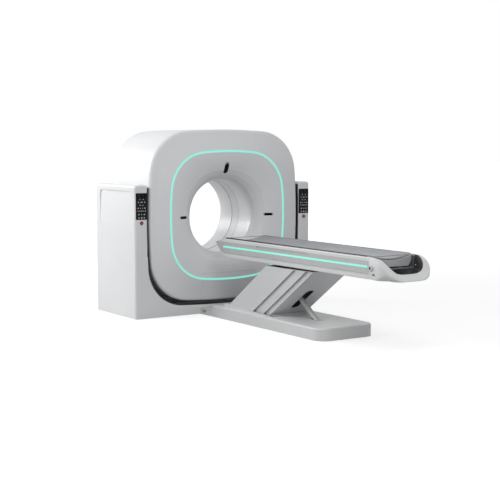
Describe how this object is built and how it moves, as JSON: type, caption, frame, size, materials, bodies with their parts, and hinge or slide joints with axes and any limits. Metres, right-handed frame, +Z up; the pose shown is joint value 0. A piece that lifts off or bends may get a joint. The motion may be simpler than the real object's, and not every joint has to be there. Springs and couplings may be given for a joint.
{
  "type": "ct scanner",
  "caption": "Medical imaging scanner: a tilting ring gantry with a lit dished bore hangs in a U-shaped stand, with a lifting patient table on an inclined linkage.",
  "frame": {"origin": "on the floor directly below the centre of the scan plane, at the middle of the stand's floor plate", "axes": "+Z up, +Y along the bore from the front of the gantry to its rear (the table reaches out along -Y), +X across to the right seen from the table"},
  "size_m": [2, 3.514, 1.771],
  "materials": {
    "cover_white": "satin moulded cover",
    "stand_white": "satin paint",
    "table_white": "satin paint",
    "frame_steel": "grey primer",
    "bright_steel": "machined",
    "black_plastic": "matte black",
    "motor_grey": "powder coat",
    "panel_black": "gloss black membrane",
    "stop_red": "dark red",
    "teal_light": "glowing light guide",
    "window_black": "smoked window",
    "window_clear": "thin polymer",
    "belt_rubber": "ribbed belt",
    "cast_alloy": "machined casting",
    "slip_brass": "brushed tracks",
    "strut_alloy": "satin anodised",
    "chrome_rod": "polished",
    "cradle_carbon": "light grey composite shell",
    "mattress_fabric": "blue-grey coated fabric",
    "knob_grey": "light grey"
  },
  "bodies": {
    "stand_and_base": {"stand_frame": "frame_steel", "anchor_bolts": "bright_steel", "front_fascia": "stand_white", "rear_fascia": "stand_white", "tower_covers": "stand_white", "gap_strips": "black_plastic", "inner_panels": "black_plastic", "tilt_bearings": "bright_steel", "tilt_motor": "motor_grey", "power_unit": "motor_grey", "keypads": "panel_black", "stop_collars": "black_plastic", "table_frame": "frame_steel", "base_cover": "table_white"},
    "tilt_worm": {"tilt_worm": "bright_steel"},
    "right_stop_button": {"right_stop_button": "stop_red"},
    "left_stop_button": {"left_stop_button": "stop_red"},
    "gantry": {"gantry_frame": "frame_steel", "trunnions": "bright_steel", "front_cover": "cover_white", "front_funnel": "cover_white", "lower_service_panel": "cover_white", "light_ring": "teal_light", "gantry_windows": "window_black", "body_wrap": "cover_white", "rear_cover": "cover_white", "rear_funnel": "cover_white", "scan_window": "window_clear", "window_seals": "black_plastic", "air_bearing": "bright_steel", "brush_block": "motor_grey", "drive_motor": "motor_grey", "drive_belt": "belt_rubber"},
    "drive_pulley": {"drive_pulley": "bright_steel"},
    "rotor": {"rotor_drum": "cast_alloy", "slip_ring": "slip_brass", "xray_tube": "motor_grey", "collimator": "cast_alloy", "detector_arc": "cast_alloy", "rotor_modules": "motor_grey"},
    "front_arm": {"front_arm": "frame_steel", "column_front_cover": "table_white"},
    "rear_arm": {"rear_arm": "frame_steel", "column_rear_cover": "table_white"},
    "mid_links": {"mid_links": "frame_steel", "column_mid_cover": "table_white"},
    "strut_tube": {"strut_tube": "strut_alloy"},
    "strut_rod": {"strut_rod": "chrome_rod"},
    "table_top": {"carriage_deck": "frame_steel", "side_rails": "table_white", "rail_lights": "teal_light", "front_cap": "table_white", "foot_scoop": "table_white", "foot_liner": "black_plastic", "underside_pan": "table_white", "cradle_motor": "motor_grey"},
    "right_knob": {"right_knob": "knob_grey"},
    "left_knob": {"left_knob": "knob_grey"},
    "cradle": {"cradle": "cradle_carbon", "mattress": "mattress_fabric"}
  },
  "joints": [
    {"name": "gantry_tilt", "type": "hinge", "parent": "stand_and_base", "child": "gantry", "pos_m": [0, 0, 0.932], "axis": [1, 0, 0], "range_deg": [-28, 28]},
    {"name": "tilt_worm_spin", "type": "hinge", "parent": "stand_and_base", "child": "tilt_worm", "pos_m": [-0.932, 0, 0.7996], "axis": [0, 1, 0], "range_deg": [-1700, 1700]},
    {"name": "rotor_spin", "type": "hinge", "parent": "gantry", "child": "rotor", "pos_m": [0, 0, 0.932], "axis": [0, 1, 0], "continuous": true},
    {"name": "pulley_spin", "type": "hinge", "parent": "gantry", "child": "drive_pulley", "pos_m": [0.655, 0, 0.332], "axis": [0, 1, 0], "continuous": true},
    {"name": "table_lift", "type": "hinge", "parent": "stand_and_base", "child": "front_arm", "pos_m": [0, -0.987, 0.13], "axis": [-1, 0, 0], "range_deg": [-16, 12]},
    {"name": "rear_arm_pivot", "type": "hinge", "parent": "stand_and_base", "child": "rear_arm", "pos_m": [0, -1.321, 0.13], "axis": [-1, 0, 0], "range_deg": [-16.1, 12.1]},
    {"name": "mid_link_pivot", "type": "hinge", "parent": "stand_and_base", "child": "mid_links", "pos_m": [0, -1.154, 0.13], "axis": [-1, 0, 0], "range_deg": [-16.1, 12.1]},
    {"name": "table_top_pivot", "type": "hinge", "parent": "front_arm", "child": "table_top", "pos_m": [0, -1.66577, 0.6], "axis": [1, 0, 0], "range_deg": [-16.1, 12.1]},
    {"name": "strut_foot_pivot", "type": "hinge", "parent": "stand_and_base", "child": "strut_tube", "pos_m": [0, -1.907, 0.081], "axis": [1, 0, 0], "range_deg": [-7.8, 5.9]},
    {"name": "strut_extension", "type": "slide", "parent": "strut_tube", "child": "strut_rod", "axis": [0, 0.8297, 0.5582], "range_m": [-0.133, 0.1]},
    {"name": "cradle_slide", "type": "slide", "parent": "table_top", "child": "cradle", "axis": [0, 1, 0], "range_m": [0, 1.5]},
    {"name": "right_stop_press", "type": "slide", "parent": "stand_and_base", "child": "right_stop_button", "axis": [0, 1, 0], "range_m": [0, 0.004], "stiffness_N_per_m": 1500, "springref_m": -0.001},
    {"name": "left_stop_press", "type": "slide", "parent": "stand_and_base", "child": "left_stop_button", "axis": [0, 1, 0], "range_m": [0, 0.004], "stiffness_N_per_m": 1500, "springref_m": -0.001},
    {"name": "right_knob_turn", "type": "hinge", "parent": "table_top", "child": "right_knob", "pos_m": [0.25, -2.901, 0.667], "axis": [1, 0, 0], "range_deg": [-90, 90]},
    {"name": "left_knob_turn", "type": "hinge", "parent": "table_top", "child": "left_knob", "pos_m": [-0.25, -2.901, 0.667], "axis": [1, 0, 0], "range_deg": [-90, 90]}
  ],
  "couplings": [
    {"joint": "tilt_worm_spin", "follows": "gantry_tilt", "ratio": 60},
    {"joint": "pulley_spin", "follows": "rotor_spin", "ratio": 16.889},
    {"joint": "rear_arm_pivot", "follows": "table_lift", "ratio": 1},
    {"joint": "mid_link_pivot", "follows": "table_lift", "ratio": 1},
    {"joint": "table_top_pivot", "follows": "table_lift", "ratio": 1},
    {"joint": "strut_foot_pivot", "follows": "table_lift", "ratio": 0.4783},
    {"joint": "strut_extension", "follows": "table_lift", "m_per_rad": 0.4723}
  ]
}
